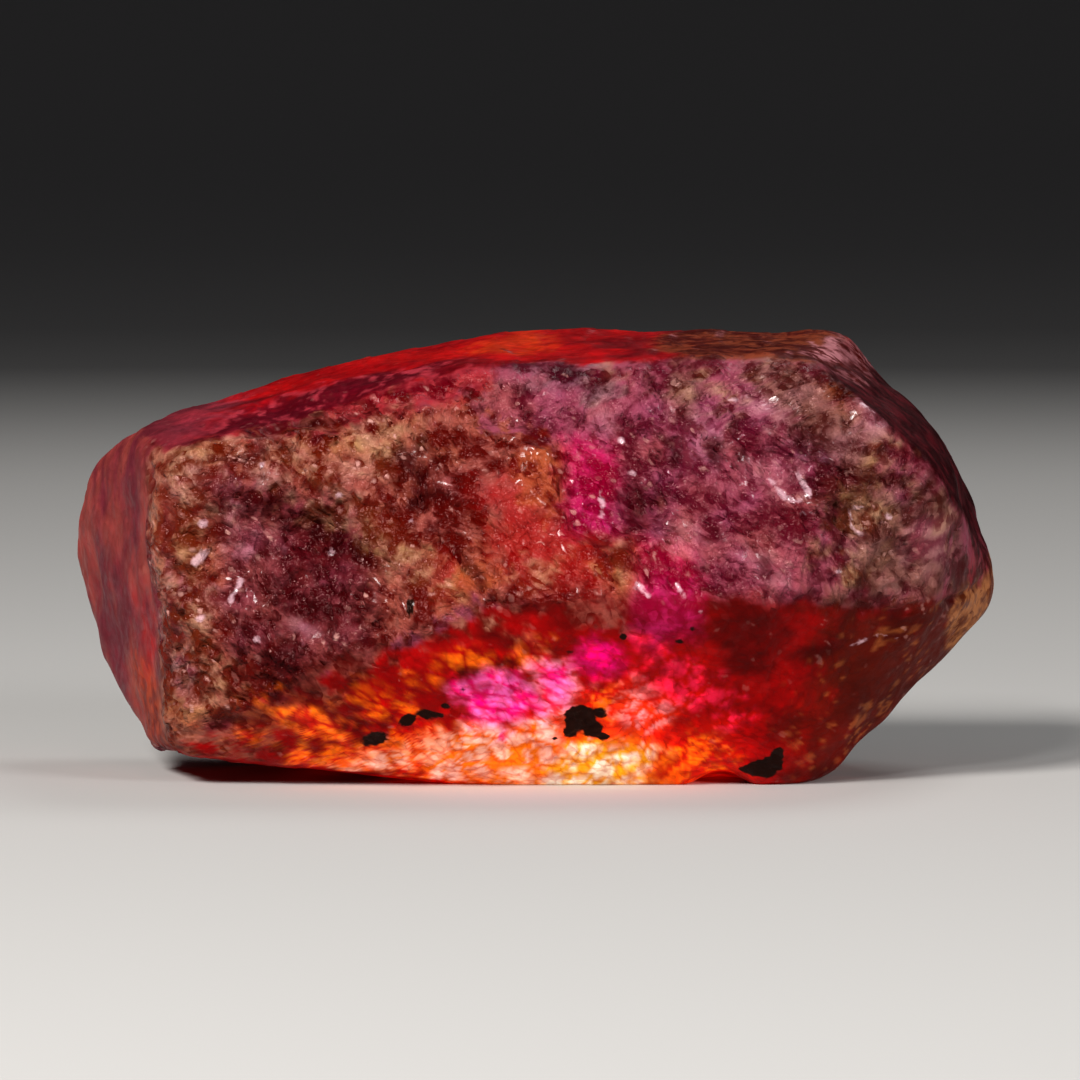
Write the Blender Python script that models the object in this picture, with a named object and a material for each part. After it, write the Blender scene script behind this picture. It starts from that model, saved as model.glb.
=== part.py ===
"""Raw ruby crystal: one barrel-shaped hexagonal crystal, lying along X on a flat of its underside.

The crystal is the convex hull of its named corners, with its edges rounded by wear. The growth
relief is then pressed into it: the skin that still covers the left of the front, the hollow broken
into that skin, pits, nicks, shallow steps and an uneven surface all over. A level cut across the
lowest bulge gives it the flat that it rests on.
"""

from itertools import product

import bmesh
import bpy
import numpy as np
from mathutils import Matrix, Vector

MM = 0.001

# Driving dimensions, in millimetres.
LENGTH = 18.7  # along the c-axis, tip to tip
CELL = 0.24  # size of the surface mesh before it is thinned out
EDGE_WEAR_PASSES = 5  # passes of smoothing that round the crystal's edges
TRIANGLES = 7600  # in the finished solid
FOOT_FADE = 0.7  # height over which the uneven growth dies away towards the flat at z = 0

# Corners of the sharp crystal as (x, y, z): x along the c-axis, -y to the front, z up.
LEFT_END = (
    (-9.55, 4.4, 4.1),
    (-9.05, 3.4, 5.65),
    (-8.5, 1.9, 6.35),
    (-7.7, -0.6, 6.9),
    (-7.2, -2.8, 6.6),
    (-7.05, -3.3, 3.6),
    (-6.9, -2.4, 0.65),
    (-7.6, -0.2, 0.55),
    (-8.6, 2.6, 1.7),
    (-9.15, 3.8, 2.9),
)
TOP_BACK_EDGE = (
    (-6.95, 1.2, 7.35),
    (-3.75, 2.3, 8.2),
    (-0.75, 2.7, 8.8),
    (0.65, 2.7, 8.8),
    (6.45, 2.5, 8.8),
)
TOP_FRONT_EDGE = ((-1.55, -2.6, 7.55), (-0.65, -2.1, 8.35), (5.65, -2.1, 8.45))
FRONT_RIDGE = (
    (-3.55, -3.9, 1.9),
    (-0.95, -4.5, 3.5),
    (1.75, -4.7, 3.6),
    (4.45, -4.6, 3.7),
    (8.15, -2.6, 3.5),
)
RIGHT_BEVEL = (
    (6.3, -2.55, 7.7),
    (7.35, -2.95, 6.85),
    (8.25, -2.7, 6.0),
    (7.35, 2.8, 7.8),
    (8.15, 3.2, 6.8),
    (8.9, 3.4, 5.95),
    (9.35, 3.0, 5.0),
)
RIGHT_TIP = ((9.5, 0.4, 4.0), (9.45, 0.6, 3.25), (6.15, -1.4, 0.1), (6.25, 1.8, -0.1))
BACK_RIDGE = ((-8.05, 4.7, 4.2), (-0.25, 4.7, 4.3), (7.75, 4.5, 4.4))
UNDERSIDE = (
    (-5.25, -2.2, 0.5),
    (-1.95, -2.2, 0.05),
    (-0.45, -2.2, -0.1),
    (5.35, -2.2, -0.1),
    (-2.65, 2.4, -0.1),
    (-7.05, 1.0, 0.3),
)

# The skin left on the front is one raised plate: its outline as (x, z), seen from the front.
SKIN_OUTLINE = (
    (-6.9, 6.8),
    (-4.8, 7.0),
    (-2.5, 7.4),
    (-0.8, 7.9),
    (-0.8, 7.2),
    (0.6, 6.6),
    (0.8, 5.1),
    (2.1, 4.8),
    (2.1, 4.3),
    (1.5, 3.8),
    (-0.9, 3.6),
    (-3.5, 2.2),
    (-6.6, 1.2),
)
SKIN_HEIGHT = 0.22
SKIN_EDGE = 0.16  # distance over which the plate steps down

# Hollows as (centre, radii, depth): an ellipsoidal bite centred on the surface.
HOLLOWS = (
    ((-4.5, -3.3, 4.5), (2.3, 1.6, 1.8), 0.50),
    ((-4.2, -3.3, 5.3), (1.3, 1.1, 0.7), 0.25),
    ((2.3, -3.3, 5.6), (0.6, 0.7, 0.6), 0.34),
    ((4.9, -3.0, 6.2), (0.75, 0.7, 0.85), 0.24),
    ((6.3, -3.3, 5.4), (0.6, 0.6, 0.6), 0.20),
    ((-5.5, 0.4, 7.4), (2.2, 1.0, 0.8), 0.14),
    ((3.9, -1.9, 0.0), (0.8, 1.5, 0.7), 0.32),
    ((-1.2, 4.4, 5.5), (2.4, 1.2, 1.6), 0.40),
    ((4.8, 4.0, 2.9), (1.7, 1.2, 1.2), 0.30),
)

# Uneven growth as (size of a lump, height), coarse to fine.
LUMPS = ((3.1, 0.10), (1.25, 0.07), (0.6, 0.045))
HASH_PRIMES = (73856093, 19349663, 83492791)
HASH_MIX = 1274126177
HASH_SPAN = 2**32
GROWTH_STEP = 0.9  # distance between the shallow growth steps along the crystal
GROWTH_STEP_HEIGHT = 0.05

COLOUR = (0.24, 0.035, 0.045, 1.0)
ROUGHNESS = 0.42


def clear_scene():
    for item in list(bpy.data.objects):
        bpy.data.objects.remove(item, do_unlink=True)


def ruby_material():
    material = bpy.data.materials.new("raw_ruby")
    material.use_nodes = True
    shader = material.node_tree.nodes["Principled BSDF"]
    shader.inputs["Base Color"].default_value = COLOUR
    shader.inputs["Roughness"].default_value = ROUGHNESS
    shader.inputs["Metallic"].default_value = 0.0
    return material


def crystal_corners():
    groups = (LEFT_END, TOP_BACK_EDGE, TOP_FRONT_EDGE, FRONT_RIDGE)
    groups += (RIGHT_BEVEL, RIGHT_TIP, BACK_RIDGE, UNDERSIDE)
    return [Vector(corner) for group in groups for corner in group]


def crystal_hull():
    """The sharp crystal: the convex hull of its corners, in millimetres."""
    hull = bmesh.new()
    for corner in crystal_corners():
        hull.verts.new(corner)
    made = bmesh.ops.convex_hull(hull, input=hull.verts)
    spare = {item for item in made["geom_interior"] if isinstance(item, bmesh.types.BMVert)}
    bmesh.ops.delete(hull, geom=list(spare), context="VERTS")
    bmesh.ops.recalc_face_normals(hull, faces=hull.faces)
    return hull


def evaluated_copy(mesh, add_modifiers):
    """The mesh as Blender evaluates it with the modifiers that add_modifiers puts on its object."""
    holder = bpy.data.objects.new("holder", mesh)
    bpy.context.scene.collection.objects.link(holder)
    add_modifiers(holder)
    bpy.context.view_layer.update()
    graph = bpy.context.evaluated_depsgraph_get()
    result = bpy.data.meshes.new_from_object(holder.evaluated_get(graph))
    bpy.data.objects.remove(holder, do_unlink=True)
    return result


def add_wear(holder):
    """An even surface mesh over the hull, with its edges rounded."""
    even = holder.modifiers.new("even_cells", "REMESH")
    even.mode = "VOXEL"
    even.voxel_size = CELL
    worn = holder.modifiers.new("edge_wear", "SMOOTH")
    worn.factor = 0.5
    worn.iterations = EDGE_WEAR_PASSES


def smooth_step(value):
    value = np.clip(value, 0.0, 1.0)
    return value * value * (3.0 - 2.0 * value)


def outline_distance(points, outline):
    """Distance of each (x, z) point from the closed outline, positive inside it."""
    nearest = np.full(len(points), np.inf)
    crossings = np.zeros(len(points), dtype=int)
    corners = np.array(outline)
    for start, end in zip(corners, np.roll(corners, -1, axis=0)):
        run = end - start
        along = np.clip((points - start) @ run / (run @ run), 0.0, 1.0)
        nearest = np.minimum(nearest, np.linalg.norm(points - start - along[:, None] * run, axis=1))
        spans = (start[1] > points[:, 1]) != (end[1] > points[:, 1])
        reach = start[0] + (points[:, 1] - start[1]) * run[0] / (run[1] if run[1] else np.inf)
        crossings += spans & (points[:, 0] < reach)
    return np.where(crossings % 2 == 1, nearest, -nearest)


def skin_relief(points, normals):
    """Height of the plate of skin: full inside its outline, on the surface that faces the front."""
    inside = outline_distance(points[:, [0, 2]], SKIN_OUTLINE)
    front = smooth_step(-normals[:, 1] * 2.0 - 0.2)
    return SKIN_HEIGHT * front * smooth_step(inside / SKIN_EDGE + 0.5)


def hollow_relief(points, centre, radii, depth):
    reach = np.linalg.norm((points - np.array(centre)) / np.array(radii), axis=1)
    return -depth * np.clip(1.0 - reach**2, 0.0, 1.0) ** 1.5


def corner_values(cells):
    """A fixed random value from -1 to 1 for each cell of a cubic lattice."""
    mixed = np.zeros(len(cells), dtype=np.int64)
    for axis, prime in enumerate(HASH_PRIMES):
        mixed ^= (cells[:, axis] * prime) % HASH_SPAN
    mixed = ((mixed ^ (mixed >> 13)) * HASH_MIX) % HASH_SPAN
    mixed ^= mixed >> 16
    return mixed / HASH_SPAN * 2.0 - 1.0


def lump_relief(points, size, height):
    """Smooth random lumps: the values at the eight corners of each cell, blended across it."""
    cells = np.floor(points / size).astype(np.int64)
    part = smooth_step(points / size - cells)
    lumps = np.zeros(len(points))
    for corner in product((0, 1), repeat=3):
        share = np.prod(np.where(corner, part, 1.0 - part), axis=1)
        lumps += share * corner_values(cells + np.array(corner))
    return height * lumps


def growth_relief(points, normals):
    """Shallow steps across the c-axis, on the sides only: each rises slowly and drops at once."""
    bend = 0.35 * np.sin(points[:, 2] * 0.9) + 0.25 * np.sin(points[:, 1] * 1.3)
    phase = np.mod((points[:, 0] + bend) / GROWTH_STEP, 1.0)
    sides = smooth_step(1.3 - 2.0 * np.abs(normals[:, 0]))
    return GROWTH_STEP_HEIGHT * sides * (phase - 0.5)


def press_relief(mesh):
    """Moves each point along its normal by the sum of the reliefs."""
    count = len(mesh.vertices)
    points = np.empty(count * 3)
    normals = np.empty(count * 3)
    mesh.vertices.foreach_get("co", points)
    mesh.vertex_normals.foreach_get("vector", normals)
    points, normals = points.reshape(-1, 3), normals.reshape(-1, 3)
    uneven = growth_relief(points, normals) + sum(lump_relief(points, *lump) for lump in LUMPS)
    height = skin_relief(points, normals)
    height += sum(hollow_relief(points, *hollow) for hollow in HOLLOWS)
    height += uneven * smooth_step(points[:, 2] / FOOT_FADE)
    mesh.vertices.foreach_set("co", (points + normals * height[:, None]).ravel())
    mesh.update()


def add_thinning(holder):
    """Fewer, larger triangles where the surface is flat, and small ones where the relief is."""
    thin = holder.modifiers.new("thinning", "DECIMATE")
    thin.use_collapse_triangulate = True
    triangles = sum(len(face.vertices) - 2 for face in holder.data.polygons)
    thin.ratio = TRIANGLES / triangles


def cut_foot(mesh):
    """Cuts the lowest bulge off level at z = 0, and fills the cut with one flat face."""
    shape = bmesh.new()
    shape.from_mesh(mesh)
    everything = shape.verts[:] + shape.edges[:] + shape.faces[:]
    cut = bmesh.ops.bisect_plane(
        shape, geom=everything, plane_co=Vector(), plane_no=Vector((0, 0, -1)), clear_outer=True
    )
    rim = [item for item in cut["geom_cut"] if isinstance(item, bmesh.types.BMEdge)]
    bmesh.ops.contextual_create(shape, geom=rim)
    bmesh.ops.recalc_face_normals(shape, faces=shape.faces)
    shape.to_mesh(mesh)
    shape.free()


def centre_and_scale(mesh):
    """Puts the middle of the crystal's box over the origin, and turns millimetres into metres."""
    points = np.empty(len(mesh.vertices) * 3)
    mesh.vertices.foreach_get("co", points)
    low, high = points.reshape(-1, 3).min(axis=0), points.reshape(-1, 3).max(axis=0)
    middle = (low + high) / 2.0
    to_size = MM * LENGTH / (high[0] - low[0])
    place = Matrix.Scale(to_size, 4) @ Matrix.Translation((-middle[0], -middle[1], 0.0))
    mesh.transform(place)


def build_crystal():
    sharp = bpy.data.meshes.new("sharp_crystal")
    hull = crystal_hull()
    hull.to_mesh(sharp)
    hull.free()
    worn = evaluated_copy(sharp, add_wear)
    press_relief(worn)
    mesh = evaluated_copy(worn, add_thinning)
    cut_foot(mesh)
    centre_and_scale(mesh)
    mesh.name = "ruby_crystal"
    mesh.materials.append(ruby_material())
    crystal = bpy.data.objects.new("ruby_crystal", mesh)
    bpy.context.scene.collection.objects.link(crystal)
    return crystal


if __name__ == "__main__":
    clear_scene()
    build_crystal()
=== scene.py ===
"""Raw ruby crystal lying on its side: its fine surface, its finish and a plain studio round it."""

import logging
from dataclasses import dataclass, field
from enum import Enum, auto
from itertools import combinations, product
from math import cos, pi, radians, sin
from typing import Any, Protocol

import bpy
import numpy as np
from mathutils import Matrix, Vector


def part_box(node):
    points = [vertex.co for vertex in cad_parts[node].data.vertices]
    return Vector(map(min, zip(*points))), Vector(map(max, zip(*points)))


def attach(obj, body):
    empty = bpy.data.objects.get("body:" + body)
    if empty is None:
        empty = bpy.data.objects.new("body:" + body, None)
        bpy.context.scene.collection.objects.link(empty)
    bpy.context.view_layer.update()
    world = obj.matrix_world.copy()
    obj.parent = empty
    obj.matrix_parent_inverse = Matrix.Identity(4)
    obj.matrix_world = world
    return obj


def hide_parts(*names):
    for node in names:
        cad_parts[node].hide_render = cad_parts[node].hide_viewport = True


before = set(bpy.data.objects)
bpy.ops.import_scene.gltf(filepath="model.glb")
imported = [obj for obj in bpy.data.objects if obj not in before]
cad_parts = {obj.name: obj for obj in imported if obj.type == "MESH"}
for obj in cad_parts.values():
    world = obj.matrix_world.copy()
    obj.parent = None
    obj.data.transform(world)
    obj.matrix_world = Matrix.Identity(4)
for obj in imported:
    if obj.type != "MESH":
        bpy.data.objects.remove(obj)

log = logging.getLogger("ruby")

Array = np.ndarray
Point2 = tuple[float, float]
Point3 = tuple[float, float, float]
Route = tuple[Point2, ...]
Screen = tuple[int, int, int]
Colour = tuple[float, float, float, float]

MM = 0.001
NODE = "ruby_crystal"
BODY = "root"

# ---- Curves and noise, on whole arrays. Points are rows of (x, y, z) in millimetres. ----

HASH_PRIMES = (73856093, 19349663, 83492791)
HASH_MIX = 1274126177
HASH_SPAN = 2**32
JITTER_SHIFTS = (0, 71, 313)
JITTER = 0.45
WARP_SHIFTS = (3.0, 37.0, 71.0)
TILT_SHIFTS = (911, 1213, 1531)
TONE_SHIFT = 911
OCTAVE_TURN = np.array(Matrix.Rotation(0.9, 3, Vector((1.0, 0.7, 0.4))))
OCTAVE_STEP = 2.03
OCTAVE_SHIFT = 17.3
OCTAVE_GAIN = 0.55
NOISE_SWING = 1.6
FRONT = [0, 2]  # the axes across the front and up


def smooth_step(value: Array) -> Array:
    """Eases a value from 0 to 1 as 3v^2 - 2v^3, held at 0 and 1 outside."""
    value = np.clip(value, 0.0, 1.0)
    return value * value * (3.0 - 2.0 * value)


def corner_values(cells: Array) -> Array:
    """A fixed random value from -1 to 1 for each cell of a cubic lattice.

    Args:
        cells: Whole-number cell coordinates, one row of three each.

    Returns:
        One value for each row.
    """
    mixed = np.zeros(len(cells), dtype=np.int64)
    for axis, prime in enumerate(HASH_PRIMES):
        mixed ^= (cells[:, axis] * prime) % HASH_SPAN
    mixed = ((mixed ^ (mixed >> 13)) * HASH_MIX) % HASH_SPAN
    mixed ^= mixed >> 16
    return mixed / HASH_SPAN * 2.0 - 1.0


def value_noise(points: Array) -> Array:
    """Smooth random values: those at the eight corners of each unit cell, blended across it.

    Args:
        points: Positions in cells.

    Returns:
        One value from -1 to 1 for each row.
    """
    cells = np.floor(points).astype(np.int64)
    part = smooth_step(points - cells)
    total = np.zeros(len(points))
    for corner in product((0, 1), repeat=3):
        share = np.prod(np.where(corner, part, 1.0 - part), axis=1)
        total += share * corner_values(cells + np.array(corner))
    return total


def fractal_noise(points: Array, octaves: int) -> Array:
    """Sum of ever finer and weaker value noise, each on a lattice turned from the last.

    Args:
        points: Positions in cells of the coarsest octave.
        octaves: How many octaves are added.

    Returns:
        One value for each row, mostly from -1 to 1.
    """
    total, height, weight = np.zeros(len(points)), 1.0, 0.0
    for _ in range(octaves):
        total += height * value_noise(points)
        weight += height
        height *= OCTAVE_GAIN
        points = points @ OCTAVE_TURN.T * OCTAVE_STEP + OCTAVE_SHIFT
    return total / weight * NOISE_SWING


@dataclass
class Cells:
    """Each point's nearest seed: its cell, the way from it, its distance and the second nearest's."""

    home: Array
    gap: Array
    first: Array
    second: Array

    def own(self, shift: int) -> Array:
        """A random value from -1 to 1 that each nearest seed owns; another shift gives another."""
        return corner_values(self.home + shift)


def cell_noise(points: Array) -> Cells:
    """Finds the nearest of one random seed in each unit cell.

    Args:
        points: Positions in cells.

    Returns:
        Each point's nearest seed.
    """
    base = np.floor(points).astype(np.int64)
    endless = np.full(len(points), np.inf)
    found = Cells(base, np.zeros(points.shape), endless, endless)
    for step in product((-1, 0, 1), repeat=3):
        cell = base + np.array(step)
        jitter = np.stack([corner_values(cell + shift) for shift in JITTER_SHIFTS], axis=1)
        gap = points - cell - 0.5 - JITTER * jitter
        far = np.linalg.norm(gap, axis=1)
        closer = far < found.first
        found.second = np.where(closer, found.first, np.minimum(found.second, far))
        found.home = np.where(closer[:, None], cell, found.home)
        found.gap = np.where(closer[:, None], gap, found.gap)
        found.first = np.where(closer, far, found.first)
    return found


def warp_places(points: Array, size: float, amount: float) -> Array:
    """Points moved along each axis, by up to an amount, by value noise with lumps of a size."""
    ways = [value_noise(points / size + shift) for shift in WARP_SHIFTS]
    return points + amount * np.column_stack(ways)


def turned(points: Array, degrees: float) -> Array:
    """Points turned about the y axis: (x cos - z sin, y, x sin + z cos)."""
    (x, y, z), turn = points.T, radians(degrees)
    return np.column_stack([x * cos(turn) - z * sin(turn), y, x * sin(turn) + z * cos(turn)])


def route_distance(places: Array, route: Route, closed: bool = False) -> Array:
    """Distance of each place from a chain of straight runs.

    Args:
        places: Rows of two coordinates.
        route: The chain's corners.
        closed: Whether the last corner joins the first.

    Returns:
        One distance for each row.
    """
    corners = np.array(route)
    ends = np.roll(corners, -1, axis=0) if closed else corners[1:]
    nearest = np.full(len(places), np.inf)
    for start, end in zip(corners, ends):
        run = end - start
        along = np.clip((places - start) @ run / (run @ run), 0.0, 1.0)
        gap = places - start - along[:, None] * run
        nearest = np.minimum(nearest, np.hypot(gap[:, 0], gap[:, 1]))
    return nearest


def outline_depth(places: Array, outline: Route) -> Array:
    """Distance from a closed outline: inside is where a ray to +x crosses it an odd number of times.

    Args:
        places: Rows of two coordinates.
        outline: The outline's corners.

    Returns:
        One signed distance for each row, positive inside.
    """
    crossings = np.zeros(len(places), dtype=int)
    corners = np.array(outline)
    for start, end in zip(corners, np.roll(corners, -1, axis=0)):
        spans = (start[1] > places[:, 1]) != (end[1] > places[:, 1])
        rise = (end[1] - start[1]) or np.inf
        reach = start[0] + (places[:, 1] - start[1]) * (end[0] - start[0]) / rise
        crossings += spans & (places[:, 0] < reach)
    return np.where(crossings % 2 == 1, 1.0, -1.0) * route_distance(places, outline, closed=True)


# ---- The crystal's form, from its sharp corners: x along the c-axis, -y to the front. ----

LEFT_END: tuple[Point3, ...] = (
    (-9.55, 4.4, 4.1), (-9.05, 3.4, 5.65), (-8.5, 1.9, 6.35), (-7.7, -0.6, 6.9), (-7.2, -2.8, 6.6),
    (-7.05, -3.3, 3.6), (-6.9, -2.4, 0.65), (-7.6, -0.2, 0.55), (-8.6, 2.6, 1.7), (-9.15, 3.8, 2.9)
)
TOP_EDGES: tuple[Point3, ...] = (
    (-6.95, 1.2, 7.35), (-3.75, 2.3, 8.2), (-0.75, 2.7, 8.8), (0.65, 2.7, 8.8), (6.45, 2.5, 8.8),
    (-1.55, -2.6, 7.55), (-0.65, -2.1, 8.35), (5.65, -2.1, 8.45)
)
SIDE_RIDGES: tuple[Point3, ...] = (
    (-3.55, -3.9, 1.9), (-0.95, -4.5, 3.5), (1.75, -4.7, 3.6), (4.45, -4.6, 3.7), (8.15, -2.6, 3.5),
    (-8.05, 4.7, 4.2), (-0.25, 4.7, 4.3), (7.75, 4.5, 4.4)
)
RIGHT_END: tuple[Point3, ...] = (
    (6.3, -2.55, 7.7), (7.35, -2.95, 6.85), (8.25, -2.7, 6.0), (7.35, 2.8, 7.8), (8.15, 3.2, 6.8),
    (8.9, 3.4, 5.95), (9.35, 3.0, 5.0), (9.5, 0.4, 4.0), (9.45, 0.6, 3.25), (6.15, -1.4, 0.1),
    (6.25, 1.8, -0.1)
)
UNDERSIDE: tuple[Point3, ...] = (
    (-5.25, -2.2, 0.5), (-1.95, -2.2, 0.05), (-0.45, -2.2, -0.1), (5.35, -2.2, -0.1), (-2.65, 2.4, -0.1),
    (-7.05, 1.0, 0.3)
)
SKIN_OUTLINE: Route = (
    (-6.9, 6.8), (-4.8, 7.0), (-2.5, 7.4), (-0.8, 7.9), (-0.8, 7.2), (0.6, 6.6), (0.8, 5.1), (2.1, 4.8),
    (2.1, 4.3), (1.5, 3.8), (-0.9, 3.6), (-3.5, 2.2), (-6.6, 1.2)
)


@dataclass
class Surface:
    """A closed mesh of four-sided faces, worked on as whole arrays."""

    points: Array
    quads: Array

    def normals(self) -> Array:
        """Outward normals: the cross product of each face's diagonals, summed at its corners.

        Returns:
            One unit normal for each point.
        """
        corner = self.points[self.quads]
        faces = np.cross(corner[:, 2] - corner[:, 0], corner[:, 3] - corner[:, 1])
        total = np.zeros_like(self.points)
        for axis in range(3):
            weight = np.repeat(faces[:, axis], 4)
            total[:, axis] = np.bincount(self.quads.ravel(), weight, len(self.points))
        return total / np.linalg.norm(total, axis=1, keepdims=True)

    def spread(self, values: Array, passes: int) -> Array:
        """Values averaged with those next to them, over and over.

        Args:
            values: One number for each point.
            passes: How many times they are averaged.

        Returns:
            The evened-out numbers.
        """
        start = self.quads.T.ravel()
        end = np.roll(self.quads, -1, axis=1).T.ravel()
        share = np.bincount(start, minlength=len(values)).astype(float)
        for _ in range(passes):
            near = np.bincount(start, values[end], len(values)) / share
            values = 0.4 * values + 0.6 * near
        return values

    def raise_by(self, height: Array) -> None:
        """Moves each point out along its normal by a height of its own."""
        self.points = self.points + self.normals() * height[:, None]

    def fit_box(self, low: Array, high: Array) -> None:
        """Stretches the points to fill a box, given by its lowest and highest corners."""
        start, end = self.points.min(axis=0), self.points.max(axis=0)
        self.points = low + (self.points - start) * (high - low) / (end - start)


@dataclass
class CrystalForm:
    """The bare crystal: the hull of its corners, with worn edges."""

    corners: tuple[Point3, ...] = LEFT_END + TOP_EDGES + SIDE_RIDGES + RIGHT_END + UNDERSIDE
    heart: Point3 = (0.0, 0.0, 4.4)
    half_box: Point3 = (9.2, 4.6, 4.4)
    segments: tuple[int, int, int] = (236, 74, 100)
    wear: float = 0.36

    def planes(self) -> tuple[Array, Array]:
        """The hull's faces: each trio of corners whose plane has every other corner behind it.

        Returns:
            The faces' outward normals, and their distances from the heart.
        """
        corners = np.array(self.corners) - np.array(self.heart)
        trio = corners[np.array(list(combinations(range(len(corners)), 3)))]
        normal = np.cross(trio[:, 1] - trio[:, 0], trio[:, 2] - trio[:, 0])
        size = np.linalg.norm(normal, axis=1)
        broad = size > 1e-9
        normal = normal[broad] / size[broad, None]
        offset = (normal * trio[broad, 0]).sum(axis=1)
        normal, offset = normal * np.sign(offset)[:, None], np.abs(offset)
        behind = (corners @ normal.T <= offset + 1e-6).all(axis=0)
        faces = np.unique(np.round(np.column_stack([normal, offset])[behind], 5), axis=0)
        return faces[:, :3], faces[:, 3]

    def lattice(self) -> tuple[Array, Array]:
        """The skin of a block of small cells, as one closed mesh.

        Returns:
            The points in cells from the block's first corner, and the faces, turned outwards.
        """
        count = np.array(self.segments)
        patches = []
        for axis in range(3):
            first, second = (axis + 1) % 3, (axis + 2) % 3
            across, down = np.meshgrid(np.arange(count[first]), np.arange(count[second]), indexing="ij")
            for far in (0, 1):
                quad = np.zeros((across.size, 4, 3), dtype=np.int64)
                quad[:, :, axis] = far * count[axis]
                for corner, (u, v) in enumerate(((0, 0), (1, 0), (1, 1), (0, 1))):
                    quad[:, corner, first] = across.ravel() + u
                    quad[:, corner, second] = down.ravel() + v
                patches.append(quad if far else quad[:, ::-1])
        quads = np.concatenate(patches)
        code = (quads[..., 0] * (count[1] + 1) + quads[..., 1]) * (count[2] + 1) + quads[..., 2]
        _, at, index = np.unique(code.ravel(), return_index=True, return_inverse=True)
        return quads.reshape(-1, 3)[at].astype(float), index.reshape(-1, 4)

    def reach(self, ways: Array, normal: Array, offset: Array) -> Array:
        """How far the hull goes along each way: the least, over its faces, of offset / (normal . way)."""
        ways = ways / np.linalg.norm(ways, axis=1, keepdims=True)
        return 1.0 / (ways @ (normal / offset[:, None]).T).max(axis=1)

    def surface(self) -> Surface:
        """The worn crystal: each way's reach is the mean of those a little to every side of it.

        Returns:
            The closed surface.
        """
        cells, quads = self.lattice()
        ways = (cells / np.array(self.segments) * 2.0 - 1.0) * np.array(self.half_box)
        normal, offset = self.planes()
        steps = [np.array(step) for step in product((-1, 0, 1), repeat=3) if any(step)]
        reach = self.reach(ways, normal, offset)
        for step in steps:
            reach += self.reach(ways + self.wear * step / np.linalg.norm(step), normal, offset)
        reach /= len(steps) + 1
        ways /= np.linalg.norm(ways, axis=1, keepdims=True)
        return Surface(np.array(self.heart) + ways * reach[:, None], quads)


# ---- Relief pressed into the form. ----


class Relief(Protocol):
    """Something that raises or lowers the surface."""

    def height(self, points: Array, normals: Array) -> Array:
        """Height at each point, in millimetres, from its place and its normal."""
        ...


def facing_front(normals: Array) -> Array:
    """How far each point faces the front, from 0 to 1."""
    return smooth_step(-normals[:, 1] * 2.0 - 0.2)


def above_flat(points: Array) -> Array:
    """Falls from 1 to 0 towards the flat that the crystal rests on."""
    return smooth_step(points[:, 2] / 0.7)


@dataclass(frozen=True)
class SkinPlate:
    """The skin left on the front: a low plate inside its outline."""

    outline: Route = SKIN_OUTLINE
    rise: float = 0.14
    edge: float = 0.3
    ragged: float = 0.16

    def height(self, points: Array, normals: Array) -> Array:
        """Full height inside the outline, stepping down over its edge, which noise makes ragged."""
        inside = outline_depth(points[:, FRONT], self.outline) + self.ragged * fractal_noise(points / 0.55, 4)
        return self.rise * facing_front(normals) * smooth_step(inside / self.edge + 0.5)


@dataclass(frozen=True)
class Bite:
    """A hollow broken into the surface, or a swelling where its depth is negative."""

    centre: Point3
    radii: Point3
    depth: float

    def height(self, points: Array, normals: Array) -> Array:
        """Depth as (1 - q^2)^1.5, where q is the distance in radii."""
        reach = np.linalg.norm((points - np.array(self.centre)) / np.array(self.radii), axis=1)
        return -self.depth * np.clip(1.0 - reach**2, 0.0, 1.0) ** 1.5


@dataclass(frozen=True)
class Lumps:
    """Uneven growth of one size."""

    size: float
    rise: float

    def height(self, points: Array, normals: Array) -> Array:
        """Value noise, dying away towards the flat."""
        return self.rise * value_noise(points / self.size) * above_flat(points)


@dataclass(frozen=True)
class GrowthSteps:
    """Shallow steps across the c-axis, on the sides only."""

    pitch: float = 0.9
    rise: float = 0.02

    def height(self, points: Array, normals: Array) -> Array:
        """A sawtooth along x, its lines bent by a sine of y and z.

        Args:
            points: The points.
            normals: Their normals.

        Returns:
            Their heights.
        """
        bend = 0.35 * np.sin(points[:, 2] * 0.9) + 0.25 * np.sin(points[:, 1] * 1.3)
        phase = np.mod((points[:, 0] + bend) / self.pitch, 1.0)
        sides = smooth_step(1.3 - 2.0 * np.abs(normals[:, 0]))
        return self.rise * sides * (phase - 0.5) * above_flat(points)


COARSE_RELIEF: tuple[Relief, ...] = (
    SkinPlate(),
    Bite((-4.5, -3.3, 4.5), (2.3, 1.6, 1.8), 0.50),
    Bite((-4.2, -3.3, 5.3), (1.3, 1.1, 0.7), 0.25),
    Bite((2.3, -3.3, 5.6), (0.6, 0.7, 0.6), 0.34),
    Bite((4.9, -3.0, 6.2), (0.75, 0.7, 0.85), 0.24),
    Bite((6.3, -3.3, 5.4), (0.6, 0.6, 0.6), 0.20),
    Bite((-5.5, 0.4, 7.4), (2.2, 1.0, 0.8), 0.14),
    Bite((3.9, -1.9, 0.0), (0.8, 1.5, 0.7), 0.32),
    Bite((-1.2, 4.4, 5.5), (2.4, 1.2, 1.6), 0.40),
    Bite((4.8, 4.0, 2.9), (1.7, 1.2, 1.2), 0.30),
    Bite((8.3, 0.6, 6.7), (1.7, 4.0, 1.5), -0.28),
    Lumps(3.1, 0.10),
    Lumps(1.25, 0.07),
    Lumps(0.6, 0.045),
    GrowthSteps(),
)


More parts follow.
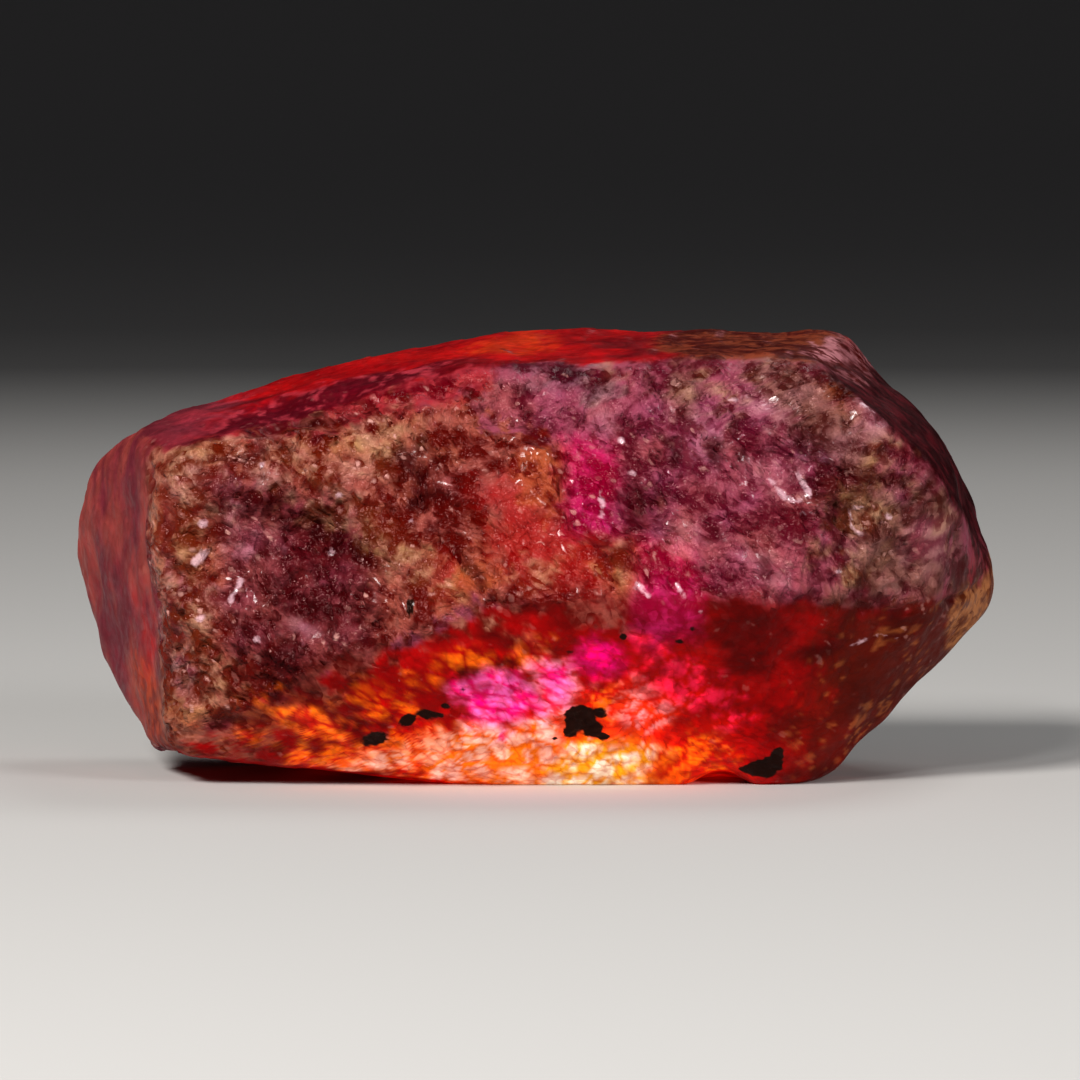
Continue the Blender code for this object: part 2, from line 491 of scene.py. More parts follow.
@dataclass(frozen=True)
class Facets:
    """Broken crystal faces: each cell of a cell noise is a small plane with a tilt of its own."""

    size: float
    rise: float

    def height(self, points: Array, normals: Array) -> Array:
        """Height as 1.6 * rise * (tilt . way from the seed, in cells)."""
        cells = cell_noise(warp_places(points, 0.6, 0.16) / self.size)
        return self.rise * sum(cells.own(shift) * way for shift, way in zip(TILT_SHIFTS, cells.gap.T)) * 1.6


@dataclass(frozen=True)
class Fibres:
    """Short curled ridges: where a warped noise passes through zero."""

    size: float = 0.5
    rise: float = 0.014

    def height(self, points: Array, normals: Array) -> Array:
        """Height as rise * (1 - 2.2 |noise|), nowhere below 0."""
        noise = fractal_noise(warp_places(points, 0.9, 0.35)[:, [0, 2, 1]] / self.size, 3)
        return self.rise * np.clip(1.0 - 2.2 * np.abs(noise), 0.0, 1.0)


@dataclass(frozen=True)
class Scratches:
    """Short gouges that all lean one way, on the right of the front."""

    lean: float = 56.0
    length: float = 0.8
    width: float = 0.24
    depth: float = 0.08

    def height(self, points: Array, normals: Array) -> Array:
        """Noise drawn out along the lean, cut off so that only its deep troughs stay.

        Args:
            points: The points.
            normals: Their normals.

        Returns:
            Their heights.
        """
        drawn = turned(points, self.lean)
        drawn[:, 2] += 0.3 * value_noise(points / 0.9)
        drawn = drawn[:, [0, 2, 1]] / np.array((self.length, self.width, 1.0))
        trough = np.clip(-fractal_noise(drawn, 2) - 0.2, 0.0, 0.5) * 2.0
        share = smooth_step((points[:, 0] - 0.8) / 1.5) * smooth_step(points[:, 2] - 3.0)
        return -self.depth * facing_front(normals) * share * trough


@dataclass(frozen=True)
class Cracks:
    """Open cracks on the front, each a chain of straight runs that noise bends."""

    routes: tuple[Route, ...] = (
        ((-1.4, 4.8), (-1.0, 4.3), (-0.6, 3.8)),
        ((-2.3, 6.5), (-2.1, 6.1), (-2.0, 5.6)),
        ((1.9, 7.4), (2.4, 6.9), (2.7, 6.6), (2.7, 5.7)),
        ((-6.4, 7.0), (-5.6, 6.95), (-4.8, 7.05), (-4.2, 7.2)),
        ((6.1, 5.6), (6.2, 5.2), (6.5, 4.9)),
        ((8.2, 3.55), (8.6, 3.65), (9.2, 3.9)),
        ((-2.4, 3.9), (-2.2, 3.5)),
    )
    width: float = 0.065
    depth: float = 0.11

    def height(self, points: Array, normals: Array) -> Array:
        """A groove whose depth falls off as exp(-(distance / width)^2).

        Args:
            points: The points.
            normals: Their normals.

        Returns:
            Their heights.
        """
        places = warp_places(points, 0.35, 0.08)[:, FRONT]
        gap = np.min([route_distance(places, route) for route in self.routes], axis=0)
        return -self.depth * facing_front(normals) * np.exp(-((gap / self.width) ** 2))


@dataclass(frozen=True)
class Folds:
    """Curled flakes that overlap like petals, on the glassy band under the ridge."""

    size: Point3 = (0.56, 0.6, 0.34)
    leans: Point2 = (30.0, -36.0)
    turn_x: float = 0.7
    rise: float = 0.05

    def petals(self, points: Array, lean: float) -> Array:
        """Flattened cells that lean: each slopes, has a shade of its own and darkens at its border.

        Args:
            points: The points.
            lean: How far the cells lean, in degrees.

        Returns:
            Their shade, about 0.
        """
        leaning = turned(points, lean) / np.array(self.size)
        shade = np.zeros(len(points))
        for scale, weight in ((1.0, 0.7), (0.5, 0.3)):
            cells = cell_noise(leaning / scale)
            border = smooth_step((cells.second - cells.first) / 0.3)
            shade += weight * (border - 0.55 + 0.9 * cells.gap[:, 2] + 0.45 * cells.own(TONE_SHIFT))
        return shade

    def pattern(self, points: Array) -> Array:
        """The petals of the first lean on the left, and of the second on the right.

        Args:
            points: The points.

        Returns:
            Their shade, from 0 to 1.
        """
        place = warp_places(warp_places(points, 1.3, 0.25), 0.5, 0.1)
        right = smooth_step((points[:, 0] - self.turn_x) / 0.4 + 0.5)
        left_petals, right_petals = (self.petals(place, lean) for lean in self.leans)
        return smooth_step(0.5 + 1.4 * (left_petals + (right_petals - left_petals) * right))

    def height(self, points: Array, normals: Array) -> Array:
        """The flakes, on the low middle of the front only."""
        near = np.exp(-(((points[:, 0] - 0.6) / 3.4) ** 2) - (points[:, 2] / 2.6) ** 2)
        return self.rise * near * self.pattern(points)


BROKEN_RELIEF: tuple[Relief, ...] = (Facets(0.62, 0.06), Facets(0.3, 0.05), Fibres(), Lumps(0.22, 0.02))
DRAWN_RELIEF: tuple[Relief, ...] = (Scratches(), Cracks(), Folds())


# ---- Where each colour lies. ----


class Side(Enum):
    """A side that zones are laid out on: its two axes, the way it faces and how squarely."""

    FRONT = ((0, 2), (0.0, -1.0, 0.0), 0.45)
    TOP = ((0, 1), (0.0, 0.0, 1.0), 0.8)
    LEFT = ((1, 2), (-1.0, 0.0, 0.0), 0.55)
    BEVEL = ((1, 2), (0.75, 0.0, 0.66), 0.8)
    LOW = ((0, 2), (0.45, -0.85, -0.25), 0.1)


@dataclass(frozen=True)
class Oval:
    """A patch inside an oval that is turned by some degrees."""

    centre: Point2
    half: Point2
    turn: float = 0.0
    side: Side = Side.FRONT

    def depth(self, places: Array) -> Array:
        """Rough distance inside the oval: (1 - q) times its shorter half, q in half-sizes.

        Args:
            places: Rows of the side's two coordinates.

        Returns:
            One distance for each row.
        """
        gap, turn = places - np.array(self.centre), radians(self.turn)
        along = gap[:, 0] * cos(turn) + gap[:, 1] * sin(turn)
        across = gap[:, 1] * cos(turn) - gap[:, 0] * sin(turn)
        return (1.0 - np.hypot(along / self.half[0], across / self.half[1])) * min(self.half)


@dataclass(frozen=True)
class Area:
    """A patch inside an outline."""

    outline: Route
    side: Side = Side.FRONT

    def depth(self, places: Array) -> Array:
        """Distance inside the outline."""
        return outline_depth(places, self.outline)


@dataclass(frozen=True)
class Streak:
    """A patch along a chain of straight runs."""

    route: Route
    half_width: float
    side: Side = Side.FRONT

    def depth(self, places: Array) -> Array:
        """Half the width less the distance from the chain."""
        return self.half_width - route_distance(places, self.route)


Patches = tuple[Oval | Area | Streak, ...]
SPOT_SQUASH = 0.85
DEPTH_LIMIT = 1.5
SIDE_EDGE = 6.0


def area(*outline: Point2, side: Side = Side.FRONT) -> Patches:
    """One patch, given by the corners of its outline."""
    return (Area(outline, side),)


def ovals(*shapes: tuple[float, ...], side: Side = Side.FRONT) -> Patches:
    """Ovals, each given by its centre, its half-sizes and, where it has one, its turn."""
    return tuple(Oval((x, y), (long, high), *turn, side=side) for x, y, long, high, *turn in shapes)


def spots(*shapes: Point3) -> Patches:
    """Small round patches on the front, each given by its centre and its radius."""
    return tuple(Oval((x, z), (radius, radius * SPOT_SQUASH)) for x, z, radius in shapes)


def streaks(half_width: float, *routes: Route, side: Side = Side.FRONT) -> Patches:
    """Streaks of one width, each given by its route."""
    return tuple(Streak(route, half_width, side) for route in routes)


def zone_depth(patches: Patches, points: Array, facing: Array) -> Array:
    """How deep each point lies inside a zone's patches, on the sides that they are laid out on.

    Args:
        patches: The patches.
        points: The points.
        facing: Their normals without the fine relief.

    Returns:
        Their depths, negative outside.
    """
    depth = np.full(len(points), -DEPTH_LIMIT)
    for patch in patches:
        axes, way, squarely = patch.side.value
        towards = (facing @ np.array(way) - squarely) * SIDE_EDGE
        depth = np.maximum(depth, np.minimum(patch.depth(points[:, axes]), towards))
    return np.minimum(depth, DEPTH_LIMIT)


def srgb(red: int, green: int, blue: int) -> Colour:
    """A screen colour as the linear colour that a shader takes."""
    parts = [part / 255.0 for part in (red, green, blue)]
    return (*(part / 12.92 if part <= 0.04045 else ((part + 0.055) / 1.055) ** 2.4 for part in parts), 1.0)


class Pattern(Enum):
    """What tells a zone's troughs from its crests."""

    CRUMBS = auto()
    CLOUDS = auto()
    STREAKS = auto()
    DASHES = auto()
    FOLDS = auto()
    FLECKS = auto()


@dataclass(frozen=True)
class Layer:
    """A zone: its patches and the screen colours of its troughs and crests.

    Its border is soft over a width and wanders. It covers what is below by its strength, its pattern mixes
    its two colours, and its glow is painted light: how much of its colour it gives off, though it is no lamp.
    """

    patches: Patches
    trough: Screen
    crest: Screen
    soft: float = 0.3
    strength: float = 1.0
    wander: float = 0.25
    pattern: Pattern = Pattern.CRUMBS
    glow: float = 0.0


LOWER_BAND: Patches = area(
    (-7.2, 1.0), (-5.6, 1.5), (-4.4, 2.2), (-3.5, 2.7), (-2.1, 3.1), (-0.9, 3.7), (1.4, 3.8), (2.2, 3.9),
    (2.9, 4.0), (4.1, 3.9), (5.9, 3.6), (7.7, 3.5), (8.4, 3.5), (9.2, 3.8), (10.0, 3.8), (10.0, -1.0),
    (-7.4, -1.0),
    side=Side.LOW
)


class Crust(Enum):
    """The zones of crust and glass, in the order they are laid; their glow is painted light shining through.
    """

    # The top's red and orange glow is painted light that shines up through the stone.
    TOP = Layer(
        ovals((-0.6, 0.4, 9.4, 3.0, 2.0), side=Side.TOP),
        (88, 0, 10), (156, 4, 14), wander=0.2, pattern=Pattern.CLOUDS, glow=0.4
    )
    TOP_GLOW = Layer(
        ovals(
            (-2.0, 0.2, 3.2, 1.7, -16.0), (0.2, 1.7, 2.2, 1.2), (-3.0, 1.6, 2.0, 0.7, -12.0),
            side=Side.TOP
        ),
        (136, 0, 8), (166, 10, 10), soft=0.5, strength=0.85, wander=0.5, pattern=Pattern.CLOUDS, glow=0.25
    )
    TOP_GOLD = Layer(
        ovals((-0.3, 0.8, 0.8, 1.3), side=Side.TOP),
        (166, 10, 10), (176, 56, 14), soft=0.4, strength=0.85, wander=0.4, pattern=Pattern.CLOUDS, glow=0.3
    )
    TOP_VIOLET = Layer(
        ovals((-4.0, -1.5, 3.0, 1.0, 8.0), side=Side.TOP),
        (88, 0, 22), (168, 56, 70), soft=0.4, strength=0.9, wander=0.3, pattern=Pattern.DASHES, glow=0.1
    )
    TOP_END = Layer(
        ovals((-7.4, 0.6, 1.5, 3.4), side=Side.TOP),
        (113, 40, 52), (168, 56, 70), soft=0.5, strength=0.9, wander=0.3, pattern=Pattern.CLOUDS
    )
    END = Layer(
        ovals((0.5, 4.0, 5.2, 5.0), side=Side.LEFT),
        (113, 40, 52), (148, 66, 61), soft=0.25, wander=0.1, pattern=Pattern.STREAKS, glow=0.15
    )
    END_GLOW = Layer(
        ovals((-1.3, 2.9, 0.9, 0.8, 15.0), (-0.8, 1.6, 0.6, 0.9, 10.0), side=Side.LEFT),
        (113, 40, 52), (180, 24, 24), soft=0.5, strength=0.8, wander=0.3, pattern=Pattern.CLOUDS, glow=0.3
    )
    END_FOOT = Layer(
        ovals((-1.4, 1.3, 1.5, 0.8, 20.0), side=Side.LEFT),
        (108, 36, 14), (174, 84, 50), soft=0.5, strength=0.7, wander=0.3, glow=0.1
    )
    MAUVE = Layer(
        area(
            (-0.6, 8.6), (5.8, 8.6), (7.3, 7.0), (8.4, 6.2), (9.6, 5.0), (9.3, 3.8), (7.7, 3.5),
            (5.9, 3.6), (2.9, 4.0), (2.1, 4.0), (2.1, 5.0), (0.9, 5.2), (0.8, 6.7), (-0.7, 7.4)
        ),
        (94, 18, 38), (154, 74, 92)
    )
    TAN = Layer(
        area(
            (5.9, 6.2), (6.9, 6.1), (8.8, 6.0), (9.6, 4.6), (8.5, 3.6), (5.6, 3.6), (6.0, 4.9),
            (5.6, 5.4)
        )
        + ovals((5.3, 8.0, 1.5, 0.3, -6.0), (5.7, 7.3, 2.1, 0.85, -36.0), (3.2, 7.7, 0.5, 0.3)),
        (78, 36, 28), (138, 96, 84), soft=0.5, strength=0.85, wander=0.5
    )
    TOP_BROWN = Layer(
        ovals((4.9, 0.0, 2.4, 3.2), side=Side.TOP)
        + ovals((6.2, 7.9, 0.5, 0.6)),
        (64, 8, 0), (128, 62, 36), strength=0.9
    )
    BEVEL = Layer(ovals((0.0, 6.6, 4.4, 2.2), side=Side.BEVEL), (50, 6, 12), (88, 18, 28))
    # Painted highlight: a pale sheen along the bevel's upper edge.
    BEVEL_HIGHLIGHT = Layer(
        ovals((-0.6, 8.4, 1.5, 0.35), (1.6, 8.35, 1.2, 0.3), side=Side.BEVEL),
        (92, 12, 6), (196, 130, 136), strength=0.9
    )
    LOWER = Layer(
        LOWER_BAND,
        (88, 0, 0), (152, 0, 2), soft=0.1, wander=0.1, pattern=Pattern.CLOUDS, glow=0.35
    )
    BROWN = Layer(
        area(
            (5.6, 3.7), (8.6, 3.6), (9.8, 3.0), (8.8, 1.4), (7.2, 0.2), (6.2, 1.6), (5.6, 2.6),
            side=Side.LOW
        ),
        (54, 0, 0), (92, 20, 4), soft=0.5, strength=0.85, wander=0.4, pattern=Pattern.CLOUDS, glow=0.2
    )
    FLECKED = Layer(
        area((6.4, 3.2), (9.2, 3.3), (9.4, 2.0), (7.2, 0.0), (5.2, 0.0), (5.0, 1.2), side=Side.LOW),
        (92, 20, 4), (158, 88, 46), soft=0.5, strength=0.7, wander=0.4, pattern=Pattern.FLECKS, glow=0.1
    )
    CORNER = Layer(
        area((8.2, 3.5), (9.0, 4.0), (10.0, 4.4), (10.0, 2.3), (8.6, 2.0), side=Side.LOW),
        (104, 44, 14), (190, 126, 80), soft=0.1, strength=0.9, wander=0.1
    )
    SKIN = Layer(
        area(*SKIN_OUTLINE)
        + ovals(
            (-5.6, 1.05, 1.4, 0.45, 6.0), (-4.0, 2.0, 0.6, 0.28, 30.0), (-2.8, 2.8, 0.5, 0.22, 25.0),
            (-1.2, 3.5, 0.5, 0.2, 10.0), (1.2, 3.7, 0.5, 0.25, -10.0)
        ),
        (92, 12, 6), (158, 82, 70), soft=0.14, wander=0.45
    )
    WINE = Layer(
        area((-6.6, 7.1), (-4.8, 7.25), (-2.5, 7.4), (-1.0, 7.5), (-0.7, 7.6), (-0.7, 9.0), (-6.6, 9.0)),
        (102, 0, 20), (164, 50, 60), soft=0.15, strength=0.9, wander=0.3, glow=0.1
    )
    HOLLOW = Layer(
        area((-6.1, 5.7), (-5.2, 6.0), (-3.6, 5.7), (-2.8, 4.7), (-3.0, 2.9), (-4.4, 2.5), (-6.0, 2.8)),
        (72, 8, 16), (134, 62, 72), soft=0.4, strength=0.95
    )
    RED = Layer(
        area((-0.9, 5.9), (-0.1, 6.0), (0.6, 5.4), (1.5, 5.2), (1.5, 4.0), (0.0, 4.0), (-0.8, 4.6))
        + ovals((-1.6, 4.2, 0.3, 0.4, 10.0)),
        (136, 12, 14), (156, 38, 36), soft=0.4, strength=0.9, wander=0.3, glow=0.25
    )
    RIM = Layer(
        area((-7.3, 6.9), (-6.4, 6.9), (-6.2, 6.0), (-6.2, 3.4), (-6.0, 0.9), (-7.0, 0.9), (-7.0, 3.4))
        + area((-6.4, 6.9), (-3.9, 6.9), (-1.9, 7.1), (-2.6, 6.2), (-3.6, 6.0), (-5.3, 6.4), (-6.2, 6.0))
        + area((-3.7, 6.0), (-2.5, 5.2), (-2.0, 4.3), (-2.7, 4.4), (-3.3, 5.2), (-4.1, 5.8))
        + streaks(0.7, ((-2.7, 6.3), (-3.1, 3.6), (-2.3, 1.0)), side=Side.LEFT),
        (108, 36, 14), (180, 122, 104), soft=0.5, strength=0.75, wander=0.5
    )
    AMBER = Layer(
        area((-0.1, 6.5), (0.2, 6.7), (0.72, 6.6), (0.72, 5.4), (0.4, 5.4), (0.0, 5.8))
        + ovals((1.9, 4.6, 0.3, 0.4), (-1.0, 4.2, 0.4, 0.3, 30.0), (-5.0, 1.5, 1.3, 0.45, 6.0)),
        (108, 20, 10), (174, 84, 50), soft=0.2, strength=0.85
    )
    SHADE = Layer(
        area((-4.9, 5.8), (-4.0, 5.5), (-2.9, 4.8), (-2.8, 4.4), (-3.7, 4.2), (-4.8, 4.2), (-5.0, 5.1))
        + area((1.8, 5.9), (2.5, 5.9), (2.6, 5.1), (2.1, 5.0), (1.8, 5.5))
        + ovals(
            (-5.8, 5.6, 0.4, 0.3, 20.0), (-4.0, 3.4, 0.7, 0.3, 10.0), (-4.6, 2.4, 0.6, 0.35),
            (-2.05, 5.9, 0.3, 0.6, 10.0), (5.7, 6.0, 0.35, 0.5, 20.0), (6.8, 6.1, 0.6, 0.15, 5.0)
        ),
        (54, 0, 4), (84, 4, 12), soft=0.4, strength=0.9, wander=0.4
    )
    MAGENTA = Layer(
        area((0.76, 6.9), (1.7, 6.6), (1.8, 6.2), (1.6, 5.4), (1.8, 5.0), (0.8, 5.1), (0.76, 6.0))
        + area((2.1, 4.9), (3.0, 4.8), (3.4, 4.3), (3.2, 3.3), (2.4, 2.8), (2.1, 3.4), (2.2, 4.1)),
        (130, 0, 44), (184, 32, 94), strength=0.95, wander=0.2, glow=0.25
    )
    # Painted highlights: pale sheen on the frosted skin of the mauve block and the hollow.
    FROST_HIGHLIGHT = Layer(
        ovals(
            (4.8, 6.2, 0.35, 0.55, 20.0), (7.8, 4.8, 0.5, 0.5), (4.6, 7.4, 0.35, 0.18, -30.0),
            (-5.35, 5.0, 0.35, 0.25, 10.0)
        ),
        (154, 74, 92), (196, 130, 136), soft=0.25, strength=0.6
    )
    LILAC = Layer(
        spots(
            (-5.95, 6.05, 0.3), (-5.25, 6.85, 0.28), (-5.45, 4.95, 0.4), (-6.1, 3.9, 0.25),
            (3.4, 6.7, 0.4), (4.9, 6.5, 0.45), (6.7, 7.3, 0.3), (1.6, 7.3, 0.3), (4.6, 4.6, 0.3),
            (2.9, 4.9, 0.25), (-4.4, 3.2, 0.25)
        ),
        (134, 62, 72), (186, 122, 138), soft=0.25, strength=0.45, wander=0.5
    )
    STRAW = Layer(
        ovals((-3.05, 5.05, 1.2, 0.12, -37.0), (-6.55, 4.2, 0.16, 1.1, 4.0))
        + spots(
            (-4.8, 6.2, 0.42), (-4.25, 5.8, 0.25), (-4.65, 7.35, 0.2), (-3.05, 6.8, 0.3),
            (-6.4, 6.3, 0.2), (-6.5, 5.6, 0.22), (-6.3, 2.4, 0.35), (-5.9, 1.6, 0.3), (-2.2, 4.3, 0.3),
            (6.3, 5.3, 0.3), (7.2, 5.5, 0.3), (8.4, 5.2, 0.25), (6.1, 4.4, 0.3), (3.9, 7.8, 0.3),
            (1.5, 8.0, 0.2), (0.2, 4.2, 0.2), (1.5, 4.7, 0.2), (7.0, 6.4, 0.25), (8.9, 4.6, 0.2)
        ),
        (110, 52, 30), (192, 148, 118), strength=0.5, wander=0.6
    )
    FURROW = Layer(
        streaks(0.05, ((4.0, 7.2), (4.15, 6.5)), ((3.55, 6.8), (3.7, 6.3)), ((4.7, 6.3), (5.05, 6.05)))
        + streaks(0.07, ((2.2, 7.25), (2.7, 6.7), (2.85, 6.35)), ((5.15, 6.85), (5.7, 6.3), (5.8, 5.9)))
        + streaks(
            0.06, ((6.2, 6.2), (7.3, 6.15)), ((6.9, 5.1), (7.3, 4.7)), ((5.5, 5.0), (5.9, 4.6)),
            ((3.4, 5.4), (3.8, 4.9)), ((4.3, 4.9), (4.6, 4.4)), ((7.8, 5.6), (8.3, 5.7)),
            ((-6.1, 6.4), (-5.4, 6.5), (-4.9, 6.7)), ((-5.0, 3.9), (-4.2, 3.7)),
            ((-1.5, 4.9), (-0.9, 4.2))
        )
        + streaks(0.09, ((-6.5, 6.95), (-4.9, 7.0), (-3.4, 7.2)), ((-2.4, 6.5), (-2.2, 5.9), (-2.3, 5.5))),
        (54, 0, 4), (72, 8, 16), soft=0.1, strength=0.75, wander=0.06
    )
    SMOKE = Layer(
        ovals((0.8, 8.1, 0.55, 0.35), (1.35, 7.75, 0.3, 0.2), (0.0, 8.0, 0.5, 0.16, 20.0)),
        (62, 8, 22), (140, 96, 106), soft=0.2, strength=0.85
    )
    TEAL = Layer(
        ovals((5.65, 8.3, 0.2, 0.12, 10.0)),
        (60, 128, 136), (60, 128, 136), soft=0.05, strength=0.9, wander=0.05
    )


class Glow(Enum):
    """The zones of painted light: flakes lit from below, through the stone, laid over the glow ramp."""

    EMBER = Layer(
        area((-4.6, 0.7), (-3.4, 0.9), (-2.1, 1.1), (-1.4, 1.4), (-1.0, 0.0), (-4.6, 0.0))
        + area((2.4, 1.2), (2.9, 1.3), (3.5, 0.9), (4.1, 0.2), (4.1, -0.2), (2.4, -0.2))
        + ovals(
            (-2.7, 1.75, 0.45, 0.2, -15.0), (-1.6, 2.4, 0.3, 0.12, 25.0), (-0.6, 2.7, 0.4, 0.1, 5.0),
            (1.5, 1.7, 0.35, 0.4), (-4.4, 1.35, 0.6, 0.3, -15.0), (-5.5, 1.05, 0.45, 0.2, 10.0)
        ),
        (176, 8, 0), (238, 112, 10), strength=0.85, wander=0.3, pattern=Pattern.FOLDS, glow=0.7
    )
    SALMON = Layer(
        area((-2.2, 0.8), (-1.2, 1.3), (0.3, 1.5), (0.8, 0.9), (0.5, -0.2), (-1.0, -0.2), (-2.1, 0.0))
        + ovals((-2.9, 0.4, 0.45, 0.2, 10.0)),
        (238, 112, 10), (252, 184, 164), strength=0.95, wander=0.3, pattern=Pattern.FOLDS, glow=0.6
    )
    PALE = Layer(
        area((0.5, 0.4), (1.1, 0.95), (1.7, 0.9), (2.4, 0.9), (2.4, 0.3), (1.8, -0.1), (0.2, -0.1)),
        (244, 160, 24), (255, 228, 206), strength=0.95, wander=0.3, pattern=Pattern.FOLDS, glow=0.55
    )
    CORAL = Layer(
        area((1.7, 1.9), (2.1, 2.1), (2.8, 1.6), (2.7, 1.0), (2.2, 0.9), (1.8, 1.1))
        + ovals((0.5, 2.15, 0.42, 0.4, -20.0)),
        (226, 56, 16), (252, 150, 150), strength=0.9, wander=0.3, pattern=Pattern.FOLDS, glow=0.7
    )
    PINK = Layer(
        area((-1.5, 2.1), (-0.6, 2.35), (0.2, 2.0), (0.3, 1.5), (-0.5, 1.2), (-1.3, 1.5))
        + ovals((0.5, 2.15, 0.3, 0.3, -20.0)),
        (232, 0, 118), (255, 108, 188), soft=0.25, strength=0.9, wander=0.2, pattern=Pattern.FOLDS, glow=0.6
    )
    CRIMSON = Layer(
        ovals((3.1, 2.05, 0.85, 0.4, -32.0)),
        (176, 8, 0), (240, 36, 76), soft=0.25, strength=0.85, wander=0.3, pattern=Pattern.FOLDS, glow=0.6
    )
    FUCHSIA = Layer(
        ovals((1.3, 2.6, 0.42, 0.38)),
        (190, 0, 70), (232, 0, 118), soft=0.25, strength=0.9, wander=0.2, pattern=Pattern.FOLDS, glow=0.6
    )


GRAINS: Patches = (
    area(
        (4.1, 0.33), (4.4, 0.5), (4.66, 0.6), (4.9, 0.8), (5.0, 0.72), (4.95, 0.3), (4.7, 0.14),
        (4.4, 0.2)
    )
    + ovals(
        (-3.0, 1.0, 0.27, 0.14, 15.0), (-2.35, 1.4, 0.17, 0.11, 30.0), (-2.0, 1.52, 0.2, 0.09, -15.0),
        (-2.3, 3.7, 0.07, 0.2, -5.0)
    )
    + spots(
        (0.98, 1.42, 0.3), (1.22, 1.2, 0.2), (0.8, 1.15, 0.14), (1.38, 1.55, 0.13), (1.45, 1.02, 0.1),
        (-1.62, 1.68, 0.07), (-1.72, 1.5, 0.05), (-1.3, 2.02, 0.07), (0.5, 1.0, 0.045), (1.8, 3.1, 0.06),
        (0.8, 2.8, 0.05), (2.9, 3.0, 0.06), (3.15, 3.25, 0.05)
    )
)
# Painted highlights: pale glint spots and streaks, which the finish also gives a clear coat.
PAINTED_GLINTS: Patches = (
    ovals((-6.4, 4.55, 0.2, 0.13, 30.0), (2.95, 3.95, 0.16, 0.05, -70.0))
    + spots(
        (-6.35, 5.2, 0.07), (-5.7, 6.1, 0.07), (-3.85, 4.65, 0.07), (-2.3, 5.3, 0.05), (-6.4, 3.4, 0.08),
        (-5.3, 3.0, 0.07), (-3.7, 5.8, 0.07), (1.8, 6.8, 0.06), (2.0, 6.2, 0.07), (-5.2, 6.35, 0.06),
        (7.0, 5.35, 0.09), (5.25, 5.7, 0.09), (3.3, 3.6, 0.04), (6.0, 4.3, 0.06), (8.3, 5.1, 0.06)
    )
    + streaks(0.05, ((-5.8, 3.75), (-5.6, 4.1)), ((1.4, 5.85), (1.43, 5.4)), ((2.1, 4.1), (2.3, 3.9)))
    + streaks(0.06, ((4.7, 6.05), (4.95, 5.75), (5.1, 5.7)), ((5.2, 6.2), (5.42, 5.9), (5.45, 5.75)))
    + streaks(0.04, ((5.25, 5.45), (5.6, 5.42)), ((3.9, 7.6), (4.3, 7.65)), ((4.5, 7.6), (4.75, 7.35)))
    + streaks(
        0.035, ((6.2, 5.5), (6.25, 5.15), (6.45, 5.0)), ((6.2, 5.5), (6.5, 5.55)),
        ((6.3, 5.75), (6.65, 5.8))
    )
    + streaks(0.03, ((6.3, 2.8), (6.8, 3.0), (7.3, 2.9)), ((6.5, 7.5), (6.8, 7.35)))
)
# Painted light from below: the glow's colour, from its dim edge to its bright heart.
GLOW_RAMP: tuple[tuple[float, Colour], ...] = (
    (0.0, srgb(96, 0, 2)),
    (0.35, srgb(166, 0, 2)),
    (0.6, srgb(202, 24, 4)),
    (0.85, srgb(234, 84, 10)),
    (1.0, srgb(250, 150, 40)),
)


# ---- Shader arithmetic. ----


@dataclass(frozen=True)
class Value:
    """A node's output that adds Math nodes when it is used in arithmetic."""

    recipe: "Recipe"
    socket: bpy.types.NodeSocket

    def _math(self, operation: str, first: Any, second: Any) -> "Value":
        """Adds one Math node."""
        return self.recipe.node("ShaderNodeMath", {"operation": operation}, {0: first, 1: second})

    def __add__(self, other: Any) -> "Value":
        """self + other."""
        return self._math("ADD", self, other)

    def __radd__(self, other: Any) -> "Value":
        """other + self."""
        return self._math("ADD", other, self)

    def __sub__(self, other: Any) -> "Value":
        """self - other."""
        return self._math("SUBTRACT", self, other)

    def __rsub__(self, other: Any) -> "Value":
        """other - self."""
        return self._math("SUBTRACT", other, self)

    def __mul__(self, other: Any) -> "Value":
        """self * other."""
        return self._math("MULTIPLY", self, other)

    def __rmul__(self, other: Any) -> "Value":
        """other * self."""
        return self._math("MULTIPLY", other, self)

    def other(self, name: str) -> "Value":
        """Another output of the same node."""
        return Value(self.recipe, self.socket.node.outputs[name])

    def over(self, low: float, high: float) -> "Value":
        """Eases from 0 at low to 1 at high."""
        settings = {"interpolation_type": "SMOOTHSTEP", "clamp": True}
        return self.recipe.node("ShaderNodeMapRange", settings, {0: self, 1: low, 2: high, 3: 0.0, 4: 1.0})


